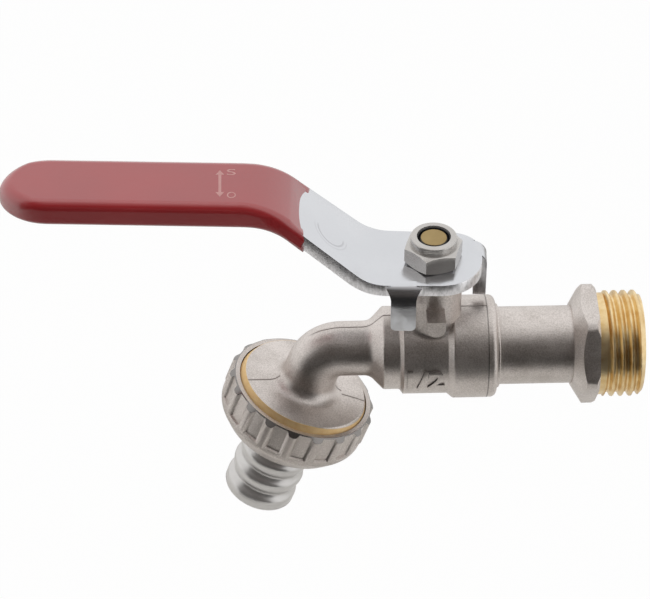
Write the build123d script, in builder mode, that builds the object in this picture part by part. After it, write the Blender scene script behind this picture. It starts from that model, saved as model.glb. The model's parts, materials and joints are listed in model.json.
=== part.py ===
from build123d import *
from math import sin, cos, tan, radians, sqrt
import os

# Quarter-turn bib tap: a forged body with a bent spout, a screwed-in inlet tail, a ball valve
# worked by a cranked lever, and a ribbed union nut that holds a ridged hose tail on the outlet.
# Origin: on the inlet axis, at the hexagon face where the inlet thread starts.
# +X points along the inlet axis out of the tap, +Z is up along the stem. Millimetres.

# Shared fits
running_gap = 0.05        # radial room of a part that turns in another
screw_gap = 0.10          # radial room between plain cylinders that stand for mating threads
seal_gap = 0.03           # radial room of soft rings

# Inlet tail
inlet_thread_r = 20.955 / 2
inlet_thread_len = 8.9
inlet_thread_chamfer = 0.9
hex_across_flats = 21.4
hex_len = 2.6
hex_corner_r = 11.9
hex_turn = 4.0
hex_cone_len = 2.2
hex_cone_step = 0.6
hex_face_chamfer = 0.55
stem_to_hex_face = 32.4   # stem axis to the hexagon face
tail_r = 7.66
tail_bore_r = 5.2
seam_x = 10.9             # seam between body and inlet tail, from the stem axis
seam_flange_len = 1.8
seam_flange_r = 10.1
seam_flange_round_r = 1.2
seam_collar_len = 0.6
seam_collar_r = 8.3
spigot_r = 8.1

# Body
right_barrel_r = 10.13
right_barrel_x = 4.2
mid_barrel_r = 9.15
mid_barrel_right_x = 3.0
mid_barrel_left_x = -5.6
left_barrel_r = 8.2
left_step = 0.7
shoulder_x = -9.4
shoulder_len = 2.7
shoulder_blend_r = 2.4
step_round_r = 0.6
spout_r = 5.4
spout_bore_r = 3.7
elbow_x = -21.5
elbow_r = 5.7
outlet_lean = 19.4        # outlet axis from the vertical
outlet_drop = 10.62       # elbow corner to the top plane of the union nut
neck_r = 5.75
neck_top_z = 18.8
neck_blend = 1.4
neck_chamfer = 0.4
lug_w = 3.6
lug_x = 0.3
lug_front = 9.6
lug_top_z = 14.0
lug_bottom_z = 10.4

# Outlet flange and its thread
outlet_thread_r = 26.441 / 2
outlet_thread_end = 6.0   # along the outlet axis from the nut's top plane
flange_rim_in = 0.72      # edge of the dome inside the thread's crest
flange_rim_t = -1.15
flange_edge_t = 0.35
dome_rise = 0.5
dome_blend = 2.6
flange_overlap = 0.3
outlet_wall = 3.02
outlet_cup_depth = 4.6

# Ball valve
ball_r = 6.75
ball_bore_r = 4.3
ball_slot_w = 3.2
ball_slot_floor_z = 4.95
chamber_r = 7.2
seat_back_x = 6.35
seat_bore_r = 4.4
seat_rim_x = 3.75
tang_w = 3.0
tang_len = 5.6
tang_bottom_z = 5.1
stem_collar_r = 4.2
stem_collar_bottom_z = 7.35
stem_collar_top_z = 8.65
thrust_washer_t = 0.6
stem_r = 3.5
o_ring_groove_r = 2.6
o_ring_groove_w = 1.3
o_ring_section_r = 0.46
lower_o_ring_z = 12.2
upper_o_ring_z = 15.2
stem_flat_w = 4.4
stem_thread_r = 3.0
stem_top_z = 27.3
stem_top_chamfer = 0.55

# Lever, set by its own turn from the tap's long axis
lever_turn = 3.3
lever_t = 2.5
plate_top_z = 22.1
lower_corner_x = -12.0
upper_corner_x = -30.4
lever_slope = 41.3
lower_bend_r = 9.0
upper_bend_r = 12.0
lever_end_x = -81.4
head_end_x = 9.4
head_half = 8.3
head_corner_r = 6.0
head_front_r = 8.2
strip_root_half = 8.6
strip_mid_half = 7.9
strip_mid_x = -24.0
strip_end_half = 6.4
strip_end_x = -36.0
strip_kink_r = 14.0
front_tab_x = -5.55
front_tab_w = 4.8
front_tab_face = 10.0
front_tab_bottom_z = 12.3
side_tab_face = 10.5
side_tab_y = 4.2
side_tab_w = 3.6
side_tab_bottom_z = 11.0
tab_bend_r = 3.2
tab_corner_r = 1.1

# Grip
grip_wall = 1.3
grip_start_x = -25.2
grip_root_wall = 0.5
grip_edge_r = 1.7

# Lock nut
nut_across_flats = 10.0
nut_hex_h = 3.9
nut_h = 5.5
nut_collar_r = 4.45
nut_turn = 12.5
nut_bevel = 0.55
nut_bevel_in = 0.2
nut_collar_round = 0.35
insert_r = 3.75
insert_h = 1.3
nut_lip_r = 3.25
nut_lip_h = 0.45

# Union nut, hose tail and washer, stations along the outlet axis from the nut's top plane
union_wall = 1.78         # over the ribs
union_panel_wall = 0.93   # between the ribs
union_rim_wall = 0.58     # of the thin rim above the turned chamfer
union_bottom = 10.8
union_bottom_in = 2.9
union_rib_step = 0.6
union_skirt_len = 1.2
union_skirt_round = 1.3
union_rib_end = 6.2
union_rib_w = 2.1
union_rib_count = 18
union_rib_turn = 19.0
union_floor_t = 9.4
tail_flange_t = 1.75
tail_flange_in = 0.82     # edge of the flange inside the outlet thread's crest
union_tail_gap = 0.3
washer_bore_r = 6.0
hose_crest_r = 7.3
hose_groove_r = 6.35
hose_pitch = 4.6
hose_first_crest = 13.5
hose_end = 28.3
hose_end_land = 2.2
hose_bore_r = 4.8
hose_crest_land = 0.7
ridge_drop = 0.22
ridge_run = 0.55
hose_end_chamfer = 0.6

os.makedirs("parts", exist_ok=True)

stem_x = -stem_to_hex_face
flange_rim_r = outlet_thread_r - flange_rim_in
outlet_cup_r = outlet_thread_r - outlet_wall
union_bore_r = outlet_thread_r + screw_gap
union_r = union_bore_r + union_wall
union_panel_r = union_bore_r + union_panel_wall
union_rim_r = union_bore_r + union_rim_wall
tail_flange_r = outlet_thread_r - tail_flange_in
lean = radians(outlet_lean)
outlet_dir = (-sin(lean), 0, -cos(lean))
outlet_side_dir = (cos(lean), 0, -sin(lean))
elbow = (stem_x + elbow_x, 0, 0)
outlet_0 = (elbow[0] + outlet_dir[0] * outlet_drop, 0, outlet_dir[2] * outlet_drop)

# Working planes: the tap's side view through the stem, the view down the stem,
# the side view of the outlet (x across, y along the outlet) and the view along the outlet.
side = Plane(origin=(stem_x, 0, 0), x_dir=(1, 0, 0), z_dir=(0, -1, 0))
top = Plane(origin=(stem_x, 0, 0), x_dir=(1, 0, 0), z_dir=(0, 0, 1))
end = Plane(origin=(stem_x, 0, 0), x_dir=(0, 1, 0), z_dir=(1, 0, 0))
outlet_side = Plane(origin=outlet_0, x_dir=outlet_side_dir, z_dir=(0, 1, 0))
outlet_face = Plane(origin=outlet_0, x_dir=outlet_side_dir, z_dir=outlet_dir)
inlet_axis = Axis((stem_x, 0, 0), (1, 0, 0))
stem_axis = Axis((stem_x, 0, 0), (0, 0, 1))
outlet_axis = Axis(outlet_0, outlet_dir)

turn = radians(-lever_turn)
lever_x = (cos(turn), sin(turn), 0)
lever_y = (-sin(turn), cos(turn), 0)
lever_top = Plane(origin=(stem_x, 0, 0), x_dir=lever_x, z_dir=(0, 0, 1))
lever_side = Plane(origin=(stem_x, 0, 0), x_dir=lever_x, z_dir=(-lever_y[0], -lever_y[1], 0))
lever_end = Plane(origin=(stem_x, 0, 0), x_dir=lever_y, z_dir=lever_x)

# The neck blended into the middle barrel, kept from the left step on
with BuildPart() as neck_blend_block:
    with BuildSketch(end.offset(mid_barrel_left_x - neck_r)):
        Circle(mid_barrel_r)
    extrude(amount=seam_x - mid_barrel_left_x + neck_r)
    with BuildSketch(side):
        with BuildLine():
            Polyline((0, 0), (neck_r, 0), (neck_r, neck_top_z - neck_chamfer),
                     (neck_r - neck_chamfer, neck_top_z), (0, neck_top_z), close=True)
        make_face()
    revolve(axis=stem_axis)
    saddle = neck_blend_block.edges().filter_by(GeomType.CIRCLE, reverse=True)
    saddle = saddle.filter_by(GeomType.LINE, reverse=True)
    fillet(saddle, neck_blend)
    split(bisect_by=end.offset(mid_barrel_left_x), keep=Keep.TOP)
    split(bisect_by=end.offset((right_barrel_x + seam_x) / 2), keep=Keep.BOTTOM)

# Body
with BuildPart() as body:
    with BuildSketch(side) as barrel_profile:
        with BuildLine():
            Polyline(
                (seam_x, 0), (seam_x, right_barrel_r), (right_barrel_x, right_barrel_r),
                (mid_barrel_right_x, mid_barrel_r), (mid_barrel_left_x, mid_barrel_r),
                (mid_barrel_left_x - left_step, left_barrel_r), (shoulder_x, left_barrel_r),
                (shoulder_x - shoulder_len, spout_r), (elbow_x + elbow_r, spout_r), (elbow_x + elbow_r, 0),
                close=True)
        make_face()
        fillet([v for v in barrel_profile.vertices() if abs(v.Y - left_barrel_r) < 0.01], step_round_r)
        fillet([v for v in barrel_profile.vertices() if abs(v.X - right_barrel_x) < 0.01], step_round_r)
        fillet([v for v in barrel_profile.vertices()
                if abs(v.X - shoulder_x + shoulder_len) < 0.01], shoulder_blend_r)
    revolve(axis=inlet_axis)
    with BuildSketch(side):
        with BuildLine():
            Polyline((0, 0), (neck_r, 0), (neck_r, neck_top_z - neck_chamfer),
                     (neck_r - neck_chamfer, neck_top_z), (0, neck_top_z), close=True)
        make_face()
    revolve(axis=stem_axis)
    add(neck_blend_block.part)

    # Spout: a straight run, the elbow and the drop into the outlet flange
    with BuildLine(side) as spout_path:
        FilletPolyline(
            (elbow_x + 2 * elbow_r, 0), (elbow_x, 0),
            (elbow_x - sin(lean) * (outlet_drop + flange_rim_t), -cos(lean) * (outlet_drop + flange_rim_t)),
            radius=elbow_r)
    with BuildSketch(end.offset(elbow_x + 2 * elbow_r)):
        Circle(spout_r)
    sweep(path=spout_path.line)

    # Domed outlet flange with the outlet thread's plain cylinder below it
    flange_neck_t = flange_rim_t - dome_rise - dome_blend - flange_overlap
    with BuildSketch(outlet_side) as flange_profile:
        with BuildLine():
            Polyline(
                (0, flange_neck_t), (spout_r, flange_neck_t),
                (spout_r, flange_rim_t - dome_rise), (flange_rim_r, flange_rim_t),
                (outlet_thread_r, flange_edge_t), (outlet_thread_r, outlet_thread_end),
                (0, outlet_thread_end), close=True)
        make_face()
        fillet([v for v in flange_profile.vertices()
                if abs(v.X - spout_r) < 0.01 and abs(v.Y - flange_rim_t + dome_rise) < 0.01], dome_blend)
    revolve(axis=outlet_axis)

    # Stop lug on the front of the neck
    with BuildSketch(Plane(origin=(stem_x, -lug_front, 0), x_dir=(1, 0, 0), z_dir=(0, 1, 0))):
        with Locations((lug_x, -lug_bottom_z - lug_w / 2)):
            Circle(lug_w / 2)
        with Locations((lug_x, -(lug_top_z + lug_bottom_z + lug_w / 2) / 2)):
            Rectangle(lug_w, lug_top_z - lug_bottom_z - lug_w / 2)
    extrude(amount=lug_front - neck_r / 2)

    # Waterway: chamber, socket for the inlet tail, spout bore and outlet cup
    with BuildSketch(side):
        with BuildLine():
            Polyline(
                (-seat_back_x, 0), (-seat_back_x, chamber_r), (seat_back_x, chamber_r),
                (seat_back_x, spigot_r + screw_gap), (seam_x, spigot_r + screw_gap), (seam_x, 0),
                close=True)
        make_face()
    revolve(axis=inlet_axis, mode=Mode.SUBTRACT)
    bore_drop = outlet_drop + outlet_thread_end - outlet_cup_depth + flange_overlap
    with BuildLine(side) as bore_path:
        FilletPolyline(
            (-seat_rim_x, 0), (elbow_x, 0),
            (elbow_x - sin(lean) * bore_drop, -cos(lean) * bore_drop),
            radius=elbow_r)
    with BuildSketch(end.offset(-seat_rim_x)):
        Circle(spout_bore_r)
    sweep(path=bore_path.line, mode=Mode.SUBTRACT)
    with BuildSketch(outlet_face.offset(outlet_thread_end - outlet_cup_depth)):
        Circle(outlet_cup_r)
    extrude(amount=outlet_cup_depth, mode=Mode.SUBTRACT)

    # Stem bore with the counterbore that holds the stem's collar
    washer_top_z = stem_collar_top_z + thrust_washer_t
    with BuildSketch(top):
        Circle(stem_collar_r + running_gap)
    extrude(amount=washer_top_z, mode=Mode.SUBTRACT)
    with BuildSketch(top):
        Circle(stem_r + running_gap)
    extrude(amount=neck_top_z, mode=Mode.SUBTRACT)

# Hexagon of the inlet tail, its tube side turned to a cone and its corners to a round
with BuildPart() as hex_block:
    with BuildSketch(end.offset(stem_to_hex_face - hex_len - hex_cone_len)):
        RegularPolygon(hex_across_flats / 2, 6, major_radius=False, rotation=hex_turn)
    extrude(amount=hex_len + hex_cone_len)
    with BuildSketch(side):
        with BuildLine():
            Polyline(
                (stem_to_hex_face - hex_len - hex_cone_len, 0),
                (stem_to_hex_face - hex_len - hex_cone_len, tail_r + hex_cone_step),
                (stem_to_hex_face - hex_len, hex_corner_r),
                (stem_to_hex_face - hex_face_chamfer, hex_corner_r),
                (stem_to_hex_face, hex_corner_r - hex_face_chamfer), (stem_to_hex_face, 0), close=True)
        make_face()
    revolve(axis=inlet_axis, mode=Mode.INTERSECT)

with BuildPart() as inlet_connector:
    thread_end_x = stem_to_hex_face + inlet_thread_len
    collar_x = seam_x + seam_flange_len
    with BuildSketch(side) as tail_profile:
        with BuildLine():
            Polyline(
                (seat_back_x, tail_bore_r), (seat_back_x, spigot_r), (seam_x, spigot_r),
                (seam_x, seam_flange_r), (collar_x, seam_flange_r), (collar_x, seam_collar_r),
                (collar_x + seam_collar_len, seam_collar_r), (collar_x + seam_collar_len, tail_r),
                (stem_to_hex_face, tail_r), (stem_to_hex_face, inlet_thread_r),
                (thread_end_x - inlet_thread_chamfer, inlet_thread_r),
                (thread_end_x, inlet_thread_r - inlet_thread_chamfer), (thread_end_x, tail_bore_r),
                close=True)
        make_face()
        fillet([v for v in tail_profile.vertices()
                if abs(v.X - collar_x) < 0.01 and v.Y > seam_collar_r + 0.1], seam_flange_round_r)
        fillet([v for v in tail_profile.vertices()
                if abs(v.X - collar_x - seam_collar_len) < 0.01 and v.Y > tail_r + 0.1], seam_collar_len / 2)
    revolve(axis=inlet_axis)
    add(hex_block.part)
    with BuildSketch(end.offset(seat_back_x)):
        Circle(tail_bore_r)
    extrude(amount=thread_end_x - seat_back_x, mode=Mode.SUBTRACT)

# Ball with its waterway and the slot for the stem's tang
with BuildPart() as ball:
    with BuildSketch(lever_side):
        with BuildLine():
            Line((0, -ball_r), (0, ball_r))
            CenterArc((0, 0), ball_r, -90, 180)
        make_face()
    revolve(axis=stem_axis)
    with BuildSketch(lever_end.offset(-ball_r)):
        Circle(ball_bore_r)
    extrude(amount=2 * ball_r, mode=Mode.SUBTRACT)
    with BuildSketch(lever_top.offset(ball_slot_floor_z)):
        Rectangle(ball_slot_w, 3 * ball_r)
    extrude(amount=ball_r, mode=Mode.SUBTRACT)

# Seats: soft rings with a hollow face round the ball
with BuildPart() as outlet_seat:
    hollow_r = ball_r + running_gap
    rim_face_r = sqrt(hollow_r ** 2 - seat_rim_x ** 2)
    bore_face_x = sqrt(hollow_r ** 2 - seat_bore_r ** 2)
    with BuildSketch(side):
        with BuildLine():
            Polyline((-bore_face_x, seat_bore_r), (-seat_back_x, seat_bore_r),
                     (-seat_back_x, chamber_r - seal_gap), (-seat_rim_x, chamber_r - seal_gap),
                     (-seat_rim_x, rim_face_r))
            ThreePointArc((-seat_rim_x, rim_face_r),
                          (-hollow_r * cos(radians(48)), hollow_r * sin(radians(48))),
                          (-bore_face_x, seat_bore_r))
        make_face()
    revolve(axis=inlet_axis)

with BuildPart() as inlet_seat:
    add(mirror(outlet_seat.part, about=end, mode=Mode.PRIVATE))

# Stem: tang, collar, sealed shank, flats for the lever and a screwed top
with BuildPart() as stem:
    plate_bottom_z = plate_top_z - lever_t
    with BuildSketch(lever_side):
        with BuildLine():
            Polyline(
                (0, stem_collar_bottom_z), (stem_collar_r, stem_collar_bottom_z),
                (stem_collar_r, stem_collar_top_z), (stem_r, stem_collar_top_z),
                (stem_r, lower_o_ring_z - o_ring_groove_w / 2),
                (o_ring_groove_r, lower_o_ring_z - o_ring_groove_w / 2),
                (o_ring_groove_r, lower_o_ring_z + o_ring_groove_w / 2),
                (stem_r, lower_o_ring_z + o_ring_groove_w / 2),
                (stem_r, upper_o_ring_z - o_ring_groove_w / 2),
                (o_ring_groove_r, upper_o_ring_z - o_ring_groove_w / 2),
                (o_ring_groove_r, upper_o_ring_z + o_ring_groove_w / 2),
                (stem_r, upper_o_ring_z + o_ring_groove_w / 2),
                (stem_r, plate_bottom_z), (stem_thread_r, plate_bottom_z),
                (stem_thread_r, stem_top_z - stem_top_chamfer),
                (stem_thread_r - stem_top_chamfer, stem_top_z), (0, stem_top_z), close=True)
        make_face()
    revolve(axis=stem_axis)
    with BuildSketch(lever_top.offset(tang_bottom_z)):
        Rectangle(tang_w, tang_len)
    extrude(amount=stem_collar_bottom_z - tang_bottom_z)
    with BuildSketch(lever_top.offset(plate_bottom_z)):
        with Locations((0, stem_flat_w / 2 + stem_r), (0, -stem_flat_w / 2 - stem_r)):
            Rectangle(4 * stem_r, 2 * stem_r)
    extrude(amount=lever_t, mode=Mode.SUBTRACT)

with BuildPart() as stem_thrust_washer:
    with BuildSketch(top.offset(stem_collar_top_z)):
        Circle(stem_collar_r)
        Circle(stem_r + running_gap, mode=Mode.SUBTRACT)
    extrude(amount=thrust_washer_t)

o_ring_r = (o_ring_groove_r + stem_r + running_gap) / 2
with BuildPart() as lower_stem_o_ring:
    with BuildSketch(lever_side):
        with Locations((o_ring_r, lower_o_ring_z)):
            Circle(o_ring_section_r)
    revolve(axis=stem_axis)

with BuildPart() as upper_stem_o_ring:
    with BuildSketch(lever_side):
        with Locations((o_ring_r, upper_o_ring_z)):
            Circle(o_ring_section_r)
    revolve(axis=stem_axis)

# Lever: the cranked strip's side view, trimmed by its outline seen from above
rise = (lower_corner_x - upper_corner_x) * tan(radians(lever_slope))
corners_xz = [(head_end_x + lever_t, plate_top_z), (lower_corner_x, plate_top_z),
              (upper_corner_x, plate_top_z + rise), (lever_end_x - lever_t, plate_top_z + rise)]
with BuildPart() as lever:
    with BuildSketch(lever_side.offset(-2 * strip_root_half)):
        with BuildLine():
            strip_top = FilletPolyline(corners_xz, radius=[lower_bend_r, upper_bend_r + lever_t])
            offset(strip_top, amount=lever_t, side=Side.LEFT, closed=True)
        make_face()
    extrude(amount=4 * strip_root_half)
    with BuildSketch(lever_top) as outline:
        with BuildLine():
            Polyline(
                (lever_end_x + strip_end_half, strip_end_half), (strip_end_x, strip_end_half),
                (strip_mid_x, strip_mid_half), (lower_corner_x, strip_root_half), (0, head_half),
                (head_end_x, head_half), (head_end_x, -head_half), (0, -head_half),
                (lower_corner_x, -strip_root_half), (strip_mid_x, -strip_mid_half),
                (strip_end_x, -strip_end_half), (lever_end_x + strip_end_half, -strip_end_half))
            ThreePointArc((lever_end_x + strip_end_half, -strip_end_half), (lever_end_x, 0),
                          (lever_end_x + strip_end_half, strip_end_half))
        make_face()
        ends = [v for v in outline.vertices() if abs(v.X - head_end_x) < 0.01]
        fillet([v for v in ends if v.Y > 0], head_corner_r)
        fillet([v for v in outline.vertices()
                if abs(v.X - head_end_x) < 0.01 and abs(v.Y + head_half) < 0.01], head_front_r)
        for kink_x in (strip_end_x, strip_mid_x, lower_corner_x):
            fillet([v for v in outline.vertices() if abs(v.X - kink_x) < 0.01], strip_kink_r)
    extrude(amount=2 * (plate_top_z + rise), mode=Mode.INTERSECT)

    # Room for the bends of the two tabs, so that the plate rolls over into them
    front_bend_y, side_bend_x = front_tab_face - tab_bend_r, side_tab_face - tab_bend_r
    with BuildSketch(lever_top):
        with Locations((front_tab_x, -head_half)):
            Rectangle(front_tab_w, 2 * (head_half - front_bend_y))
        with Locations((head_end_x, side_tab_y)):
            Rectangle(2 * (head_end_x - side_bend_x), side_tab_w)
    extrude(amount=2 * (plate_top_z + rise), mode=Mode.SUBTRACT)

    # Front tab, bent down from the plate's near edge
    with BuildSketch(lever_end.offset(front_tab_x - front_tab_w / 2)):
        with BuildLine():
            tab_top = FilletPolyline(
                (-head_half / 2, plate_top_z), (-front_tab_face, plate_top_z),
                (-front_tab_face, front_tab_bottom_z),
                radius=tab_bend_r)
            offset(tab_top, amount=lever_t, side=Side.LEFT, closed=True)
        make_face()
    extrude(amount=front_tab_w)
    # Side tab, bent down at the end of the head
    with BuildSketch(lever_side.offset(-side_tab_y - side_tab_w / 2)):
        with BuildLine():
            tab_top = FilletPolyline(
                (head_half / 2, plate_top_z), (side_tab_face, plate_top_z),
                (side_tab_face, side_tab_bottom_z),
                radius=tab_bend_r)
            offset(tab_top, amount=lever_t, side=Side.RIGHT, closed=True)
        make_face()
    extrude(amount=side_tab_w)
    tab_corners = [e for e in lever.edges().filter_by(GeomType.LINE)
                   if abs(e.length - lever_t) < 0.01 and e.center().Z < front_tab_bottom_z + 0.01]
    fillet(tab_corners, tab_corner_r)

    # Hole that fits the stem's flats
    with BuildSketch(lever_top.offset(plate_top_z - 1.2 * lever_t)):
        Circle(stem_thread_r + running_gap)
        Rectangle(4 * stem_r, stem_flat_w + 2 * running_gap, mode=Mode.INTERSECT)
    extrude(amount=1.4 * lever_t, mode=Mode.SUBTRACT)

# Grip: a dipped sleeve over the strip, a little thicker all round than the steel in it
slope = radians(lever_slope)


def grip_corner(off, z):
    # where a line set off from the strip's slope meets a level line
    return (lower_corner_x + (off - cos(slope) * (z - plate_top_z)) / sin(slope), z)


grip_top_z = plate_top_z + rise + grip_wall
grip_low_z = plate_top_z + rise - lever_t - grip_wall
over = grip_corner(grip_root_wall, grip_top_z)
under = grip_corner(-lever_t - grip_root_wall, grip_low_z)
over_foot = grip_corner(grip_root_wall, plate_top_z + 1.6 * lever_t)
under_foot = grip_corner(-lever_t - grip_root_wall, plate_top_z + 0.4 * lever_t)
grip_far_x = lever_end_x - strip_end_half
with BuildPart() as lever_grip:
    with BuildSketch(lever_side.offset(-2 * strip_root_half)):
        with BuildLine():
            FilletPolyline((grip_far_x, grip_top_z), over, over_foot,
                           radius=upper_bend_r + lever_t + grip_root_wall)
            Line(over_foot, under_foot)
            FilletPolyline(under_foot, under, (grip_far_x, grip_low_z),
                           radius=upper_bend_r - grip_wall)
            Line((grip_far_x, grip_low_z), (grip_far_x, grip_top_z))
        make_face()
    extrude(amount=4 * strip_root_half)
    with BuildSketch(lever_top) as grip_outline:
        with BuildLine():
            grip_half = strip_end_half + grip_wall
            grip_root_half = strip_mid_half + grip_root_wall
            Polyline(
                (lower_corner_x - grip_wall, grip_root_half), (strip_mid_x, grip_root_half),
                (strip_end_x, grip_half), (lever_end_x + strip_end_half, grip_half))
            ThreePointArc((lever_end_x + strip_end_half, grip_half), (lever_end_x - grip_wall, 0),
                          (lever_end_x + strip_end_half, -grip_half))
            Polyline(
                (lever_end_x + strip_end_half, -grip_half), (strip_end_x, -grip_half),
                (strip_mid_x, -grip_root_half), (lower_corner_x - grip_wall, -grip_root_half),
                (lower_corner_x - grip_wall, grip_root_half))
        make_face()
        for kink_x in (strip_end_x, strip_mid_x):
            fillet([v for v in grip_outline.vertices() if abs(v.X - kink_x) < 0.01], strip_kink_r)
    extrude(amount=2 * (plate_top_z + rise), mode=Mode.INTERSECT)
    rims = [e for e in lever_grip.edges() if e.center().X < stem_x + lower_corner_x - 1.6 * lever_t
            and abs(e.tangent_at(0.5).Z) < 0.95]
    fillet(rims, grip_edge_r)
    split(bisect_by=lever_end.offset(grip_start_x), keep=Keep.BOTTOM)
    add(lever.part, mode=Mode.SUBTRACT)

# Lock nut with a collar that holds a soft ring against the screwed top of the stem
with BuildPart() as lock_nut:
    with BuildSketch(top.offset(plate_top_z)):
        RegularPolygon(nut_across_flats / 2, 6, major_radius=False, rotation=nut_turn)
    extrude(amount=nut_hex_h)
    nut_corner_r = nut_across_flats / sqrt(3)
    nut_face_r = nut_across_flats / 2 - nut_bevel_in
    nut_hex_top = plate_top_z + nut_hex_h
    with BuildSketch(side):
        with BuildLine():
            Polyline(
                (0, plate_top_z), (nut_face_r, plate_top_z), (nut_corner_r, plate_top_z + nut_bevel),
                (nut_corner_r, nut_hex_top - nut_bevel), (nut_face_r, nut_hex_top), (0, nut_hex_top),
                close=True)
        make_face()
    revolve(axis=stem_axis, mode=Mode.INTERSECT)
    with BuildSketch(side) as collar_profile:
        with BuildLine():
            Polyline(
                (0, plate_top_z + nut_bevel), (nut_collar_r, plate_top_z + nut_bevel),
                (nut_collar_r, plate_top_z + nut_h),
                (0, plate_top_z + nut_h), close=True)
        make_face()
        fillet([v for v in collar_profile.vertices()
                if abs(v.Y - plate_top_z - nut_h) < 0.01 and v.X > 1], nut_collar_round)
    revolve(axis=stem_axis)
    with BuildSketch(top.offset(plate_top_z)):
        Circle(stem_thread_r + running_gap)
    extrude(amount=nut_h, mode=Mode.SUBTRACT)
    with BuildSketch(top.offset(plate_top_z + nut_h - nut_lip_h - insert_h)):
        Circle(insert_r)
    extrude(amount=insert_h, mode=Mode.SUBTRACT)
    with BuildSketch(top.offset(plate_top_z + nut_h - nut_lip_h)):
        Circle(nut_lip_r)
    extrude(amount=nut_lip_h, mode=Mode.SUBTRACT)

with BuildPart() as lock_nut_insert:
    with BuildSketch(top.offset(plate_top_z + nut_h - nut_lip_h - insert_h)):
        Circle(insert_r)
        Circle(stem_thread_r + seal_gap, mode=Mode.SUBTRACT)
    extrude(amount=insert_h)

# Union nut: panels between raised ribs, a smooth skirt below and a turned chamfer on top
with BuildPart() as union_nut:
    with BuildSketch(outlet_side) as union_profile:
        with BuildLine():
            Polyline(
                (0, 0), (union_panel_r, 0), (union_panel_r, union_rib_end - union_rib_step),
                (union_r, union_rib_end),
                (union_r, union_rib_end + union_skirt_len), (union_r - union_bottom_in, union_bottom),
                (0, union_bottom), close=True)
        make_face()
        fillet([v for v in union_profile.vertices()
                if v.Y > union_rib_end + union_skirt_len / 2 and v.X > union_wall], union_skirt_round)
    revolve(axis=outlet_axis)
    with BuildSketch(outlet_face):
        with PolarLocations(union_r - union_wall, union_rib_count, start_angle=union_rib_turn):
            Rectangle(2 * union_wall + union_rib_w, union_rib_w)
        Circle(union_r, mode=Mode.INTERSECT)
    extrude(amount=union_rib_end)
    with BuildSketch(outlet_side):
        with BuildLine():
            Polyline((0, 0), (union_rim_r, 0), (union_r + union_wall, union_r + union_wall - union_rim_r),
                     (union_r + union_wall, union_bottom), (0, union_bottom), close=True)
        make_face()
    revolve(axis=outlet_axis, mode=Mode.INTERSECT)
    with BuildSketch(outlet_face):
        Circle(union_bore_r)
    extrude(amount=union_floor_t, mode=Mode.SUBTRACT)
    with BuildSketch(outlet_face):
        Circle(hose_crest_r + union_tail_gap)
    extrude(amount=union_bottom, mode=Mode.SUBTRACT)

# Hose tail: flange under the nut's floor, round ridges for the hose and a plain end band
with BuildPart() as hose_tail:
    flange_top = union_floor_t - tail_flange_t
    crests = [hose_first_crest + hose_pitch * k for k in range(3)]
    half_land = hose_crest_land / 2
    with BuildSketch(outlet_side):
        with BuildLine():
            Polyline(
                (hose_bore_r, hose_end), (hose_bore_r, flange_top), (tail_flange_r, flange_top),
                (tail_flange_r, union_floor_t), (hose_groove_r, union_floor_t),
                (hose_groove_r, crests[0] - hose_pitch / 2))
            for crest in crests:
                Line((hose_crest_r, crest - half_land), (hose_crest_r, crest + half_land))
                ThreePointArc(
                    (hose_groove_r, crest - hose_pitch / 2),
                    (hose_crest_r - ridge_drop, crest - half_land - ridge_run),
                    (hose_crest_r, crest - half_land))
                ThreePointArc(
                    (hose_crest_r, crest + half_land),
                    (hose_crest_r - ridge_drop, crest + half_land + ridge_run),
                    (hose_groove_r, crest + hose_pitch / 2))
            band = crests[-1] + hose_pitch / 2
            Polyline(
                (hose_groove_r, band), (hose_crest_r, hose_end - hose_end_land - hose_end_chamfer),
                (hose_crest_r, hose_end - hose_end_chamfer), (hose_crest_r - hose_end_chamfer, hose_end),
                (hose_bore_r, hose_end))
        make_face()
    revolve(axis=outlet_axis)

with BuildPart() as hose_washer:
    with BuildSketch(outlet_face.offset(outlet_thread_end)):
        Circle(tail_flange_r)
        Circle(washer_bore_r, mode=Mode.SUBTRACT)
    extrude(amount=flange_top - outlet_thread_end)

nodes = {
    "body": body, "inlet_connector": inlet_connector, "ball": ball, "inlet_seat": inlet_seat,
    "outlet_seat": outlet_seat, "stem": stem, "stem_thrust_washer": stem_thrust_washer,
    "lower_stem_o_ring": lower_stem_o_ring, "upper_stem_o_ring": upper_stem_o_ring,
    "lever": lever, "lever_grip": lever_grip, "lock_nut": lock_nut,
    "lock_nut_insert": lock_nut_insert, "union_nut": union_nut, "hose_tail": hose_tail,
    "hose_washer": hose_washer,
}
for label, node in nodes.items():
    node.part.label = label
    export_step(node.part, f"parts/{label}.step")
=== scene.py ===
# %% [markdown]
# # A quarter-turn bib tap
#
# The real tap is a sand-blasted brass forging with a bent spout, an inlet tail with a bare thread,
# a cranked lever dipped in red vinyl, and a ribbed union nut that holds a ridged hose tail. The
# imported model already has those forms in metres. This lesson gives them their finishes, and makes
# anew what the solids leave plain: the small rounds of the lever, the grip's oval nose, the inlet
# thread, the union nut's rounded ribs, the hose tail's soft barbs, the raised size numerals and
# the printed marks on the grip.

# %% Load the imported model
import json
import math

import bmesh
import bpy
from mathutils import Matrix, Vector


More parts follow.
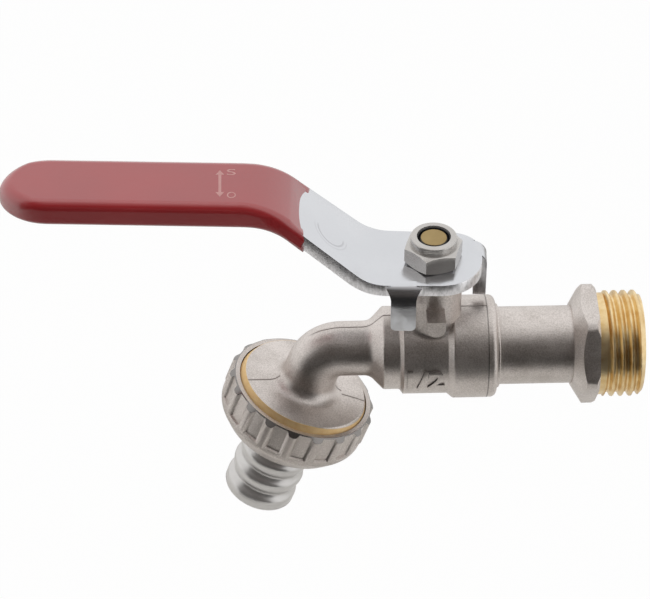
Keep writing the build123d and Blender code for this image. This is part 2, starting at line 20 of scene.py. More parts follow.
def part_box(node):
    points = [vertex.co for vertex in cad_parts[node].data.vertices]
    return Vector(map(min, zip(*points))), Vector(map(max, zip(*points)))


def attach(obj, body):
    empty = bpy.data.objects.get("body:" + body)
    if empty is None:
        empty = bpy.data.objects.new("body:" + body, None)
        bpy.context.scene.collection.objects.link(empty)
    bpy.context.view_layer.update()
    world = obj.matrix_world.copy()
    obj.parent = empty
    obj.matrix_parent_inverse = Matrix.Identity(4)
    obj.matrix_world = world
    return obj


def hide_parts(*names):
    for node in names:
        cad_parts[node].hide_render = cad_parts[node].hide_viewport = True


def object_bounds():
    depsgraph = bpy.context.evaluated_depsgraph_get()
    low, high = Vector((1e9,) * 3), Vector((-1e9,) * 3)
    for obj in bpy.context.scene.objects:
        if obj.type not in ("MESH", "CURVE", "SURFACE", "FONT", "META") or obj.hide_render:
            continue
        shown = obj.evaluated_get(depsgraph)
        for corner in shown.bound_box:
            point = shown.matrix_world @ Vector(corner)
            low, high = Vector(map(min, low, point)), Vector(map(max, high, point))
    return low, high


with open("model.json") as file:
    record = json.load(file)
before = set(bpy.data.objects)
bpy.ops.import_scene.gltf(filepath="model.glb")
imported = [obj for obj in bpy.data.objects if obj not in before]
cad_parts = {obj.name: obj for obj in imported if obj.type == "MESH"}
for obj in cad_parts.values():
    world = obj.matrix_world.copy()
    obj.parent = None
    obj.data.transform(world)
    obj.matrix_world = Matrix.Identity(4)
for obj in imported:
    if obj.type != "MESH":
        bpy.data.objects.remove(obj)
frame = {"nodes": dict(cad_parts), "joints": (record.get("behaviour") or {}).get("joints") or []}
cad_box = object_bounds()
nodes = frame["nodes"]
joints = {joint["name"]: joint for joint in frame["joints"]}
MM = 0.001
print("pieces of the packed model:", sorted(nodes))

# %% [markdown]
# Two parts of the tap are easiest to shape upright and then lay in place: everything round the
# outlet leans, and the lever is turned a little on its stem. A matrix for each carries a mesh
# from its own upright place to the tap's. A shader can use the same turn to read how far a point
# is from the outlet's axis.

# %% Places of the outlet and the lever
LEVER_TURN = math.radians(-3.3)

stem_foot = Vector(joints["lever_turn"]["pos_m"])
outlet_top = Vector(joints["union_turn"]["pos_m"])
outlet_way = Vector(joints["union_turn"]["axis"]).normalized()
outlet_side = Vector((-outlet_way.z, 0, outlet_way.x))
outlet_turn = Matrix((outlet_side, outlet_way.cross(outlet_side), outlet_way)).transposed()
outlet_place = Matrix.Translation(outlet_top) @ outlet_turn.to_4x4()
lever_place = Matrix.Translation(stem_foot) @ Matrix.Rotation(LEVER_TURN, 4, "Z")
print("outlet leans", round(math.degrees(math.acos(-outlet_way.z)), 1), "degrees")

# %% [markdown]
# The photograph was taken with a long lens from the front and well above. The eye and the point
# it looks at were fitted to known sizes on the tap, so they are written as numbers here.

# %% Camera
SENSOR_WIDE, LENS = 36, 141.27

scene = bpy.context.scene
scene.view_settings.view_transform = "Standard"
eye = Vector((-64.90, -382.81, 325.25)) * MM
aim = Vector((-53.13, 0.0, 12.51)) * MM
camera = bpy.data.objects.new("camera", bpy.data.cameras.new("camera"))
camera.data.sensor_width = SENSOR_WIDE
camera.data.lens = LENS
camera.data.clip_start, camera.data.clip_end = 0.01, 20
camera.location = eye
camera.rotation_euler = (aim - eye).to_track_quat("-Z", "Y").to_euler()
scene.collection.objects.link(camera)
scene.camera = camera
print("camera", round((aim - eye).length, 3), "m away")

# %% [markdown]
# Every finish, the studio's too, is a few sums on where a point is. Nodes could be linked one by
# one, but the sums would be hard to read. So a socket of a shader is wrapped in a small class, and
# the sums are then written as plain Python.


# %% A shader socket that does sums
class Wire:
    """A shader socket that Python's operators can work on."""

    def __init__(self, tree, socket):
        self.tree, self.socket = tree, socket

    def node(self, kind, settings=None, values=None, out=0):
        """Adds any node: its settings first, then the values or links of its sockets."""
        made = self.tree.nodes.new(kind)
        for name, value in (settings or {}).items():
            setattr(made, name, value)
        for key, value in (values or {}).items():
            if isinstance(value, Wire):
                self.tree.links.new(value.socket, made.inputs[key])
            else:
                made.inputs[key].default_value = value
        return Wire(self.tree, made.outputs[out])

    def sum(self, operation, first, second):
        return self.node("ShaderNodeMath", {"operation": operation}, {0: first, 1: second})

    def __add__(self, other):
        return self.sum("ADD", self, other)

    def __sub__(self, other):
        return self.sum("SUBTRACT", self, other)

    def __rsub__(self, other):
        return self.sum("SUBTRACT", other, self)

    def __mul__(self, other):
        return self.sum("MULTIPLY", self, other)

    def __truediv__(self, other):
        return self.sum("DIVIDE", self, other)

    def __pow__(self, other):
        return self.sum("POWER", self, other)

    def __lt__(self, other):
        return self.sum("LESS_THAN", self, other)

    def __gt__(self, other):
        return self.sum("GREATER_THAN", self, other)

    def __abs__(self):
        return self.sum("ABSOLUTE", self, 0.0)

    __radd__, __rmul__ = __add__, __mul__

    def sine(self):
        return self.sum("SINE", self, 0.0)

    def step(self, low, high):
        """A soft step: 0 at low and 1 at high, whichever of the two is larger."""
        return self.node("ShaderNodeMapRange", {"interpolation_type": "SMOOTHSTEP"},
                         {"Value": self, "From Min": low, "From Max": high})

    def noise(self, scale, detail=2.0, roughness=0.5):
        return self.node("ShaderNodeTexNoise", {},
                         {"Vector": self, "Scale": scale, "Detail": detail, "Roughness": roughness})

    def mix(self, first, second):
        """Colour first where this wire is 0, and second where it is 1."""
        return self.node("ShaderNodeMix", {"data_type": "RGBA"}, {0: self, 6: first, 7: second}, 2)

    def moved(self, place):
        """Coordinates as read from a piece's own upright place."""
        return self.node("ShaderNodeMapping", {"vector_type": "TEXTURE"},
                         {"Vector": self, "Location": place.to_translation(),
                          "Rotation": place.to_euler()})

    def parts(self):
        return [self.node("ShaderNodeSeparateXYZ", {}, {0: self}, k) for k in range(3)]

    def bump(self, strength, distance):
        return self.node("ShaderNodeBump", {},
                         {"Strength": strength, "Distance": distance, "Height": self})


def axis_distance(x, y):
    """How far a point lies from the upright axis of its place."""
    return (x * x + y * y) ** 0.5


def new_finish(name, constants):
    """A material, its shader with the constants set, and a wire of Object coordinates."""
    material = bpy.data.materials.new(name)
    material.use_nodes = True
    shader = material.node_tree.nodes["Principled BSDF"]
    for key, value in constants.items():
        shader.inputs[key].default_value = value
    place = material.node_tree.nodes.new("ShaderNodeTexCoord")
    return material, shader, Wire(material.node_tree, place.outputs["Object"])


def feed(shader, wires):
    for key, wire in wires.items():
        wire.tree.links.new(wire.socket, shader.inputs[key])


print("shader sums ready")

# %% [markdown]
# Metal shows its surroundings more than its own colour. A product photographer puts white all
# round the tap, so the studio starts with a white world. Camera and mirror rays see a plain white
# of strength 1. The light that falls on the tap is set apart from it, so the background can be
# white without washing out the colours.

# %% White world
WHITE, ROOM_TINT, AMBIENT = (1, 1, 1, 1), (1, 0.99, 0.98, 1), 0.62

world = bpy.data.worlds.new("studio")
scene.world = world
world.use_nodes = True
tree = world.node_tree
tree.nodes.clear()
paths = tree.nodes.new("ShaderNodeLightPath")
seen_by_camera = Wire(tree, paths.outputs["Is Camera Ray"])
seen_in_gloss = Wire(tree, paths.outputs["Is Glossy Ray"])
seen_through = Wire(tree, paths.outputs["Is Transmission Ray"])
seen = 1 - (1 - seen_by_camera) * (1 - seen_in_gloss) * (1 - seen_through)
white_wall = seen.node("ShaderNodeBackground", {}, {"Color": WHITE, "Strength": 1.0})
room_light = seen.node("ShaderNodeBackground", {}, {"Color": ROOM_TINT, "Strength": AMBIENT})
sky = seen.node("ShaderNodeMixShader", {}, {0: seen, 1: room_light, 2: white_wall})
tree.links.new(sky.socket, tree.nodes.new("ShaderNodeOutputWorld").inputs["Surface"])
print("world: white to look at, light of strength", AMBIENT)

# %% [markdown]
# The floor is a pale matt disc, well below the tap. For the camera it glows nearly white, so that
# it runs into the world behind it and still keeps a soft shadow. It ends short of the camera, so
# that faces which look forwards and down mirror the dark side of the room.

# %% Floor
FLOOR_DROP, FLOOR_R, FLOOR_FRONT = 0.10, 0.45, -0.208
FLOOR_GREY, FLOOR_GLOW = (0.62, 0.615, 0.60, 1), 0.96


def stage_piece(bm, name, material, at):
    """A piece that belongs to the studio and not to the tap."""
    mesh = bpy.data.meshes.new(name)
    bm.to_mesh(mesh)
    bm.free()
    mesh.materials.append(material)
    piece = bpy.data.objects.new(name, mesh)
    piece.location = at
    scene.collection.objects.link(piece)
    return piece


floor_paint = bpy.data.materials.new("floor_paint")
floor_paint.use_nodes = True
tree = floor_paint.node_tree
tree.nodes.clear()
paths = tree.nodes.new("ShaderNodeLightPath")
seen = Wire(tree, paths.outputs["Is Camera Ray"])
matt = seen.node("ShaderNodeBsdfDiffuse", {}, {"Color": FLOOR_GREY})
glow = seen.node("ShaderNodeEmission", {}, {"Color": WHITE, "Strength": 1.0})
paint = seen.node("ShaderNodeMixShader", {}, {0: seen * FLOOR_GLOW, 1: matt, 2: glow})
tree.links.new(paint.socket, tree.nodes.new("ShaderNodeOutputMaterial").inputs["Surface"])
bm = bmesh.new()
bmesh.ops.create_circle(bm, cap_ends=True, segments=64, radius=FLOOR_R)
floor_z = cad_box[0].z - FLOOR_DROP
stage_piece(bm, "floor", floor_paint, (aim.x, FLOOR_FRONT + FLOOR_R, floor_z))
print("floor at", round(floor_z, 3))

# %% [markdown]
# The room on the camera's side is dark, and only reflections show it: without it the metal would
# have no shape. It is a piece of a ball round the tap, one arc spun about the upright line. It is
# darkest below and turns pale near the ceiling, where the white begins.

# %% Dark side of the room
ROOM_R, ROOM_LOW, ROOM_HIGH = 1.5, math.radians(-55), math.radians(88)
ROOM_LEFT, ROOM_RIGHT, ROOM_STEPS = math.radians(-70), math.radians(43), 24
DIM_FROM, DIM_TO, PALE_FROM = -0.1, 0.3 * ROOM_R, 0.74 * ROOM_R
ROOM_BLACK, ROOM_DIM = (0.010, 0.009, 0.008, 1), (0.050, 0.041, 0.036, 1)
ROOM_PALE = (0.60, 0.58, 0.57, 1)

dark_room, shader, place = new_finish("dark_room", {"Base Color": (0, 0, 0, 1),
                                                    "Emission Strength": 1.0})
height = place.parts()[2]
dim = height.step(DIM_FROM, DIM_TO).mix(ROOM_BLACK, ROOM_DIM)
feed(shader, {"Emission Color": height.step(PALE_FROM, ROOM_R).mix(dim, ROOM_PALE)})
bm = bmesh.new()
arc = []
for k in range(ROOM_STEPS + 1):
    rise = ROOM_LOW + (ROOM_HIGH - ROOM_LOW) * k / ROOM_STEPS
    arc.append(bm.verts.new((0, -ROOM_R * math.cos(rise), ROOM_R * math.sin(rise))))
edges = [bm.edges.new(pair) for pair in zip(arc, arc[1:])]
bmesh.ops.rotate(bm, verts=arc, cent=(0, 0, 0), matrix=Matrix.Rotation(ROOM_LEFT, 3, "Z"))
bmesh.ops.spin(bm, geom=arc + edges, cent=(0, 0, 0), axis=(0, 0, 1),
               angle=ROOM_RIGHT - ROOM_LEFT, steps=ROOM_STEPS)
room = stage_piece(bm, "dark_room", dark_room, aim)
room.visible_camera = room.visible_shadow = False
print("dark side of the room:", ROOM_R, "m away")

# %% [markdown]
# Four round soft lamps give the shapes their soft shade. They light the tap, but mirrors don't
# show them, because a lamp would be a hard white spot on every round of the metal.

# %% Lamps
LAMPS = {
    "top_lamp": (Vector((-0.25, 0.25, 1.0)), 6.0, 0.7),
    "left_lamp": (Vector((-0.95, -0.25, 0.45)), 3.0, 0.5),
    "right_lamp": (Vector((0.85, -0.35, 0.35)), 3.0, 0.5),
    "front_lamp": (Vector((-0.20, -1.1, 0.25)), 2.2, 0.5),
}

for name, (at, energy, size) in LAMPS.items():
    lamp = bpy.data.objects.new(name, bpy.data.lights.new(name, "AREA"))
    lamp.data.energy, lamp.data.size, lamp.data.shape = energy, size, "DISK"
    lamp.location = at
    lamp.rotation_euler = (aim - at).to_track_quat("-Z", "Y").to_euler()
    lamp.visible_glossy = False
    scene.collection.objects.link(lamp)
print("lamps:", ", ".join(LAMPS))

# %% [markdown]
# The body, the inlet tail and the union nut are brass forgings, blasted with sand and plated with
# nickel. Close up the skin is a fine grain that spreads reflections, with soft clouds where the
# plating is thicker. Grain as geometry would need millions of faces, so it is a bump, and the
# same noise also moves the tone a little.

# %% Blasted nickel skin
NICKEL_DARK, NICKEL_LIGHT = (0.54, 0.492, 0.458, 1), (0.77, 0.715, 0.68, 1)
GRAIN_SCALE, CLOUD_SCALE = 3600, 170
SKIN_BUMP, SKIN_DEPTH = 0.35, 0.12 * MM


def blasted_skin(place, darker=0.0):
    """Colour, roughness and height of the sand-blasted nickel."""
    grain = place.noise(GRAIN_SCALE, 3.0, 0.65)
    cloud = place.noise(CLOUD_SCALE, 3.0)
    tone = grain * 0.62 + cloud * 0.38
    colour = tone.step(0.36 + darker, 0.64 + darker).mix(NICKEL_DARK, NICKEL_LIGHT)
    return colour, 0.31 + cloud * 0.16, grain


tail_nickel, shader, place = new_finish("tail_nickel", {"Metallic": 1.0})
colour, rough, height = blasted_skin(place)
feed(shader, {"Base Color": colour, "Roughness": rough,
              "Normal": height.bump(SKIN_BUMP, SKIN_DEPTH)})
print("finish:", tail_nickel.name)

# %% [markdown]
# The edge of the outlet's dome is turned after plating, which bares a ring of brass and the thread
# below it. They could be pieces of their own, but they are one surface with the body, so the
# shader finds them by the distance to the outlet's axis. The ring is a little wider on one side.
# The thread only shows once the union nut is unscrewed, so it is a bump here.

# %% Bare edge of the outlet
BRASS_DARK, BRASS_LIGHT = (0.86, 0.60, 0.29, 1), (0.99, 0.80, 0.49, 1)
PIPE_PITCH, PIPE_FROM = 1.814 * MM, 0.8 * MM
EDGE_R, EDGE_GROWTH, EDGE_FROM = 12.46 * MM, 0.035, -1.6 * MM
EDGE_OUT, EDGE_IN = -0.04 * MM, 0.02 * MM

body_nickel, shader, place = new_finish("body_nickel", {})
colour, rough, height = blasted_skin(place)
across, deep, along = place.moved(outlet_place).parts()
edge_r = EDGE_R + across.sum("MAXIMUM", across, 0.0) * EDGE_GROWTH
bare_edge = (axis_distance(across, deep) - edge_r).step(EDGE_OUT, EDGE_IN) * (along > EDGE_FROM)
brass = place.noise(900).mix(BRASS_DARK, BRASS_LIGHT)
on_thread = along > PIPE_FROM
helix = along * (2 * math.pi / PIPE_PITCH) + along.sum("ARCTAN2", deep, across)
ridges = helix.sine() * on_thread * bare_edge
print("bare edge from a radius of", round(EDGE_R / MM, 2), "mm")

# %% [markdown]
# The two halves of the forging die leave a thin flash line all round the body's middle. It wanders
# a little, lies off the middle on the outlet's dome, and is ground away round the foot of the
# spout. Where the inlet tail is screwed in, dirt darkens the joint. A line could be modelled, but
# it hardly stands out, so it is a little bump with painted shade: a dark stroke in the colour along
# the line, and a fainter painted shade in a wider band round it.

# %% Flash line and body finish
DOME_FROM, DOME_LEFT, DOME_RIGHT = -4.6 * MM, -5.5 * MM, 7.5 * MM
LEFT_OFF, LEFT_AT, LEFT_LEAN, RIGHT_OFF = 1.7 * MM, -7.5 * MM, -0.33, 1.0 * MM
SPOUT_FROM, SPOUT_TO, SPOUT_HALF = -14.8 * MM, -12.2 * MM, 5.8 * MM
WANDER, LINE_HALF, LINE_CORE = 0.7 * MM, 0.16 * MM, 0.07 * MM
SHADE_HALF, SHADE_CORE = 0.6 * MM, 0.1 * MM
SEAM_END, SEAM_CORE = 0.35 * MM, 0.12 * MM
FLASH_SHADE, SEAM_DARK = (0.10, 0.075, 0.06, 1), (0.06, 0.05, 0.045, 1)

on_dome = along > DOME_FROM
left_off = LEFT_OFF + (across - LEFT_AT) * LEFT_LEAN
line_off = (across < DOME_LEFT) * on_dome * left_off + (across > DOME_RIGHT) * on_dome * RIGHT_OFF
wander = (place.noise(150) - 0.5) * WANDER
from_line = abs(place.parts()[1] + line_off + wander)
ground = along.step(SPOUT_FROM, SPOUT_TO) * (1 - on_dome * (abs(across) > SPOUT_HALF))
has_line = (1 - bare_edge) * (1 - ground)
# The flash line's dark stroke and the wider band round it are painted shade.
flash = from_line.step(LINE_HALF, LINE_CORE) * has_line
shade = from_line.step(SHADE_HALF, SHADE_CORE) * has_line
colour = (flash * 0.75 + shade * 0.125).mix(colour, FLASH_SHADE)
colour = bare_edge.mix(colour, brass)
seam = (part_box("body")[1].x - place.parts()[0]).step(SEAM_END, SEAM_CORE)
colour = (seam * (0.35 + place.noise(500) * 0.5)).mix(colour, SEAM_DARK)
relief = height * (1 - bare_edge) + flash * 1.5 + ridges * 3.5
feed(shader, {"Base Color": colour,
              "Metallic": 1 - flash * 0.3,
              "Roughness": rough * (1 - bare_edge) + bare_edge * (0.68 - on_thread * 0.35),
              "Normal": relief.bump(SKIN_BUMP, SKIN_DEPTH)})
nodes["body"].data.materials[0] = body_nickel
print("finish:", body_nickel.name)

# %% [markdown]
# The next pieces need the same first and last steps. A copy of a solid is loose triangles, so its
# shared points are joined before it is reshaped. Every finished piece gets smooth faces with sharp
# creases, a mesh of its own and the body that it rides on. Where broad flats meet small rounds, a
# modifier lets the flats set the shading, so that they stay flat.

# %% First and last steps of a piece
TOUCH, HAIR = 1e-6, 1e-7


def merged_mesh(node):
    """A copy of a node's triangles with their shared points joined."""
    bm = bmesh.new()
    bm.from_mesh(nodes[node].data)
    bmesh.ops.remove_doubles(bm, verts=bm.verts, dist=2 * TOUCH)
    bmesh.ops.dissolve_degenerate(bm, edges=bm.edges, dist=HAIR)
    return bm


def slice_at(bm, at, way, drop=False):
    """Cuts a mesh along a plane, and drops what lies beyond it where that is asked."""
    everything = bm.verts[:] + bm.edges[:] + bm.faces[:]
    bmesh.ops.bisect_plane(bm, geom=everything, dist=HAIR, plane_co=at, plane_no=way, clear_outer=drop)


def finish_piece(bm, name, body, materials, replaced=(), sharp=40.0, flats_first=False):
    """Turns a bmesh into a smooth-shaded piece that rides on a body."""
    for face in bm.faces:
        face.smooth = True
    for edge in bm.edges:
        edge.smooth = len(edge.link_faces) == 2 and edge.calc_face_angle(0.0) < math.radians(sharp)
    mesh = bpy.data.meshes.new(name)
    bm.to_mesh(mesh)
    bm.free()
    for material in materials:
        mesh.materials.append(material)
    piece = bpy.data.objects.new(name, mesh)
    scene.collection.objects.link(piece)
    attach(piece, body)
    if replaced:
        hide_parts(*replaced)
    if flats_first:
        piece.modifiers.new("flat faces first", "WEIGHTED_NORMAL").keep_sharp = True
    print("piece:", name, len(mesh.polygons), "faces")


print("points join within", TOUCH * 2 / MM, "mm")

# %% [markdown]
# The lever is a steel strip that a press has cut and bent. The root of its front tab flares out
# where the bend begins, and its far end, hidden in the grip, narrows to an oval as the grip does.
# Both are small moves of points on a copy of the solid, which is quicker than building the strip
# anew. The copy's flats are then made single faces again, and its rims get a small round.

# %% Lever strip
BEND_Y, BEND_Z, BEND_OUT, STRIP_TOP_Z = -6.8 * MM, 18.9 * MM, 0.5 * MM, 22.0 * MM
TAB_X, TAB_HALF, TAB_FLARE = -5.55 * MM, 2.45 * MM, 1.1 * MM
FLARE_FROM, FLARE_TO = math.radians(34), math.radians(86)
GRIP_ARC_X, GRIP_TIP_X, NEAR_TIP = -75.0 * MM, -82.7 * MM, 0.999
NOSE_FROM, NOSE_PULL, NOSE_POWER = -72.5 * MM, 0.35 * MM, 0.6
FLAT_ANGLE, RIM_ANGLE, RIM_ROUND = math.radians(0.4), math.radians(60), 0.24 * MM


def share_between(value, start, end):
    """How far a value has come from start to end, from 0 to 1."""
    return max(0.0, min(1.0, (value - start) / (end - start)))


def oval_end(spot, times=1):
    """A point of the strip or its sleeve, with the half-round far end drawn to an oval nose."""
    on_arc = min(NEAR_TIP, share_between(spot.x, GRIP_ARC_X, GRIP_TIP_X))
    x = spot.x + NOSE_PULL * on_arc ** 2
    on_nose = min(NEAR_TIP, share_between(x, NOSE_FROM, GRIP_TIP_X + NOSE_PULL))
    narrower = (1 - on_nose ** 2) ** NOSE_POWER / math.sqrt(1 - on_arc ** 2)
    return Vector((x, spot.y * narrower ** times, spot.z))


to_lever = lever_place.inverted()
lever_axes = lever_place.to_3x3()
bm = merged_mesh("lever")
for vert in bm.verts:
    spot = to_lever @ vert.co
    on_front_tab = spot.y < BEND_Y - BEND_OUT and abs(spot.x - TAB_X) < TAB_HALF
    if on_front_tab and BEND_Z < spot.z < STRIP_TOP_Z:
        bent = math.atan2(BEND_Y - spot.y, spot.z - BEND_Z)
        flare = TAB_FLARE * share_between(bent, FLARE_TO, FLARE_FROM) ** 2
        vert.co += lever_axes @ Vector((math.copysign(flare, spot.x - TAB_X), 0, 0))
    vert.co += lever_axes @ (oval_end(spot, 2) - spot)
bmesh.ops.dissolve_limit(bm, angle_limit=FLAT_ANGLE, verts=bm.verts, edges=bm.edges)
rims = [e for e in bm.edges if len(e.link_faces) == 2 and e.calc_face_angle(0.0) > RIM_ANGLE]
bmesh.ops.bevel(bm, geom=rims, offset=RIM_ROUND, offset_type="OFFSET", affect="EDGES", segments=2,
                profile=0.5, material=-1, clamp_overlap=True)
print("lever:", len(rims), "rim edges rounded")

# %% [markdown]
# The strip is plated with bright zinc. Its flat faces are nearly mirrors, while the edges that the
# punch sheared are a rough grey with upright streaks. A shader can't tell an edge from a face by
# place alone, so each face gets a number first: 1 where it was cut. The tabs are dented, the bends
# are painted darker as a painted reflection of the dark they mirror, and a press tool has left an
# arc on the slope. All three follow from the place.

# %% Bright zinc
LEVER_SLOPE, SLOPE_FOOT_X, SLOPE_FOOT_Z = math.radians(41.3), -12.0 * MM, 24.0 * MM
TAB_TOP_Z, STRIP_MID_Z, FRONT_TAB_Y = 20.1 * MM, 20.7 * MM, -6.5 * MM
UPRIGHT, FACING = 0.3, 0.7
MARK_X, MARK_Y, MARK_R, MARK_GAP = -19.6 * MM, -1.0 * MM, 3.2 * MM, 0.8 * MM
MARK_HALF, MARK_CORE, MARK_FADE = 0.3 * MM, 0.08 * MM, 0.6 * MM
ZINC_DARK, ZINC_LIGHT, ZINC_DENT = (0.61, 0.62, 0.645, 1), (0.72, 0.73, 0.755, 1), (0.55, 0.555, 0.57, 1)
ZINC_BEND_PAINTED_DARK, ZINC_MARK = (0.22, 0.21, 0.215, 1), (0.30, 0.30, 0.32, 1)
CUT_DARK, CUT_LIGHT = (0.62, 0.615, 0.625, 1), (0.95, 0.94, 0.96, 1)

sheared = bm.faces.layers.float.new("sheared")
for face in bm.faces:
    middle, way = to_lever @ face.calc_center_median(), to_lever.to_3x3() @ face.normal
    side = way.x if middle.y < FRONT_TAB_Y else way.y
    cut = abs(side) > FACING or way.z < -FACING
    face[sheared] = float(abs(way.z) < UPRIGHT if middle.z > TAB_TOP_Z else cut)

zinc, shader, place = new_finish("bright_zinc", {"Metallic": 1.0})
edge_cut = place.node("ShaderNodeAttribute", {"attribute_name": "sheared"}, {}, "Fac")
x, y, z = place.moved(lever_place).parts()
fine, soft, dents = place.noise(1500, 4.0, 0.7), place.noise(90), place.noise(330)
streaks = place.node("ShaderNodeVectorMath", {"operation": "MULTIPLY"}, {0: place, 1: (1.0, 1.0, 0.35)})
tear = streaks.noise(1500, 4.0, 0.7)
on_tab = z.step(TAB_TOP_Z - 0.8 * MM, TAB_TOP_Z - 2.6 * MM) * (1 - edge_cut)
on_bend = z.step(BEND_Z - 1.2 * MM, BEND_Z - 0.2 * MM) * z.step(TAB_TOP_Z + 1.0 * MM, TAB_TOP_Z)
on_bend = on_bend * (1 - edge_cut)
u, v = (x - MARK_X) / math.cos(LEVER_SLOPE), y - MARK_Y
from_mark = axis_distance(u, v) - MARK_R
on_top = z + (x - SLOPE_FOOT_X) * math.tan(LEVER_SLOPE) > STRIP_MID_Z
near_half = v.step(MARK_FADE, -MARK_FADE) * (z > SLOPE_FOOT_Z) * on_top
second_arc = abs(from_mark - MARK_GAP).step(0.25 * MM, MARK_CORE) * 0.4
mark = (abs(from_mark).step(MARK_HALF, MARK_CORE) + second_arc) * near_half

face_colour = (soft * 0.7 + fine * 0.3).mix(ZINC_DARK, ZINC_LIGHT)
face_colour = (on_tab * dents.step(0.35, 0.62)).mix(face_colour, ZINC_DENT)
# The bends are painted darker: a painted reflection.
face_colour = (on_bend * 0.6).mix(face_colour, ZINC_BEND_PAINTED_DARK)
face_colour = (mark * 0.35).mix(face_colour, ZINC_MARK)
cut_colour = tear.step(0.30, 0.65).mix(CUT_DARK, CUT_LIGHT)
face_rough = 0.20 + soft * 0.06 + on_tab * 0.12 - on_bend * 0.06
face_relief = (fine * 0.05 + mark * 0.5) * (1 - on_tab) + on_tab * dents * 3.0
relief = face_relief * (1 - edge_cut) + tear * 0.7 * edge_cut
feed(shader, {"Base Color": edge_cut.mix(face_colour, cut_colour),
              "Roughness": face_rough * (1 - edge_cut) + edge_cut * (0.30 + tear * 0.12),
              "Normal": relief.bump(0.4, 0.14 * MM)})
finish_piece(bm, "lever_strip", "lever", [zinc], ["lever"])

# %% [markdown]
# The grip is a thick sleeve of vinyl that the strip was dipped in. The solid has an inner wall that
# nobody sees, and a flat end where the dip stops. A copy of it keeps the outer skin only, opened
# at that end, and the open rim is divided so that it can be bent later.

# %% Open skin of the grip
DIP_LINE_X, DIP_STEPS, LONG_EDGE = -25.2 * MM, 9, 1.0 * MM

bm = merged_mesh("lever_grip")
at_end = {v for v in bm.verts if abs((to_lever @ v.co).x - DIP_LINE_X) < TOUCH}
bmesh.ops.delete(bm, geom=[f for f in bm.faces if at_end.issuperset(f.verts)], context="FACES")
fresh = {min(bm.verts, key=lambda v: v.co.x)}
skin = set(fresh)
while fresh:
    fresh = {e.other_vert(v) for v in fresh for e in v.link_edges} - skin
    skin |= fresh
bmesh.ops.delete(bm, geom=[v for v in bm.verts if v not in skin], context="VERTS")
long_edges = [e for e in bm.edges if e.is_boundary and e.calc_length() > LONG_EDGE]
bmesh.ops.subdivide_edges(bm, edges=long_edges, cuts=DIP_STEPS)
bm.normal_update()
print("grip: rim of", sum(e.is_boundary for e in bm.edges), "edges")

# %% [markdown]
# Vinyl runs before it sets. The sleeve's lower edges are tight, the upper one at the back is
# rounder, and the nose is an oval that is rounder still. At the other end the skin is feathered,
# and its line creeps along the strip's two edges. A point of a round moves by how far its normal
# has turned, so a round can change its size without new faces. The nose is narrowed last, after a
# few cuts that give it points to bend at, and a lip turns the open rim in to the strip.

# %% Rounds, nose and rim of the grip
TIGHTER, ROUNDER, NOSE_ROUND = 0.9 * MM, 0.8 * MM, 2.0 * MM
BEND_FROM, BEND_TO, BEND_AT, GRIP_MID_Z = -35.4 * MM, -26.6 * MM, -30.4 * MM, 37.0 * MM
DIP_HALF, DIP_BACK, CREEP_FAR, CREEP_NEAR, CREEP_POWER = 8.4 * MM, -0.2 * MM, 2.4 * MM, 1.3 * MM, 2.6
FEATHER, FEATHER_FROM, LIP_IN, NOSE_CUTS = 0.38 * MM, 0.75, 0.75, 4


def grip_middle(x):
    """The height of the sleeve's middle, which is level up to its bend and then slopes down."""
    return GRIP_MID_Z - max(0.0, x - BEND_AT) * math.tan(LEVER_SLOPE)


down_slope = Vector((math.cos(LEVER_SLOPE), 0, -math.sin(LEVER_SLOPE)))
for vert in bm.verts:
    spot, way = to_lever @ vert.co, to_lever.to_3x3() @ vert.normal
    above = 1 if spot.z > grip_middle(spot.x) else -1
    on_slope = share_between(spot.x, BEND_FROM, BEND_TO)
    lean = math.asin(on_slope * math.sin(LEVER_SLOPE))
    up = Vector((math.sin(lean), 0, math.cos(lean))) * above
    outward = Vector((min(0.0, spot.x - GRIP_ARC_X), spot.y, 0)).normalized()
    side, top = max(0.0, way.dot(outward)), max(0.0, way.dot(up))
    turn = math.atan2(top, side)
    back_round = ROUNDER * (1 - on_slope) * max(0.0, spot.y / DIP_HALF)
    rounder = max(back_round, NOSE_ROUND * share_between(spot.x, GRIP_ARC_X, GRIP_TIP_X))
    more = -TIGHTER if above < 0 else rounder
    shift = (outward * (math.cos(turn) - 1) + up * (math.sin(turn) - 1)) * more
    if vert.is_boundary:
        creep = (CREEP_FAR if spot.y > 0 else CREEP_NEAR) * (abs(spot.y) / DIP_HALF) ** CREEP_POWER
        thinner = FEATHER * share_between(top, FEATHER_FROM, 1.0) ** 2
        shift += down_slope * (DIP_BACK + creep) - up * thinner
    vert.co += lever_axes @ shift
for k in range(NOSE_CUTS):
    cut_x = NOSE_FROM + (GRIP_ARC_X - NOSE_FROM) * k / NOSE_CUTS
    slice_at(bm, lever_place @ Vector((cut_x, 0, 0)), lever_axes.col[0])
for vert in bm.verts:
    vert.co = lever_place @ oval_end(to_lever @ vert.co)
lip = bmesh.ops.extrude_edge_only(bm, edges=[e for e in bm.edges if e.is_boundary])["geom"]
for vert in [part for part in lip if isinstance(part, bmesh.types.BMVert)]:
    spot = to_lever @ vert.co
    middle = grip_middle(spot.x)
    inside = Vector((spot.x, spot.y * LIP_IN, middle + (spot.z - middle) * LIP_IN))
    vert.co = lever_place @ inside
bmesh.ops.recalc_face_normals(bm, faces=bm.faces)
print("grip: nose narrowed from", round(NOSE_FROM / MM, 1), "mm")

# %% [markdown]
# The vinyl is glossy, slightly orange-peeled, and a deep red that the top light turns pinkish. A
# very shiny base would show hard mirrors, so a coat layer gives the gloss over a softer base, and
# a broad noise bends it a little.

# %% Red dip
RED_DARK, RED_LIGHT = (0.20, 0.006, 0.009, 1), (0.27, 0.010, 0.013, 1)

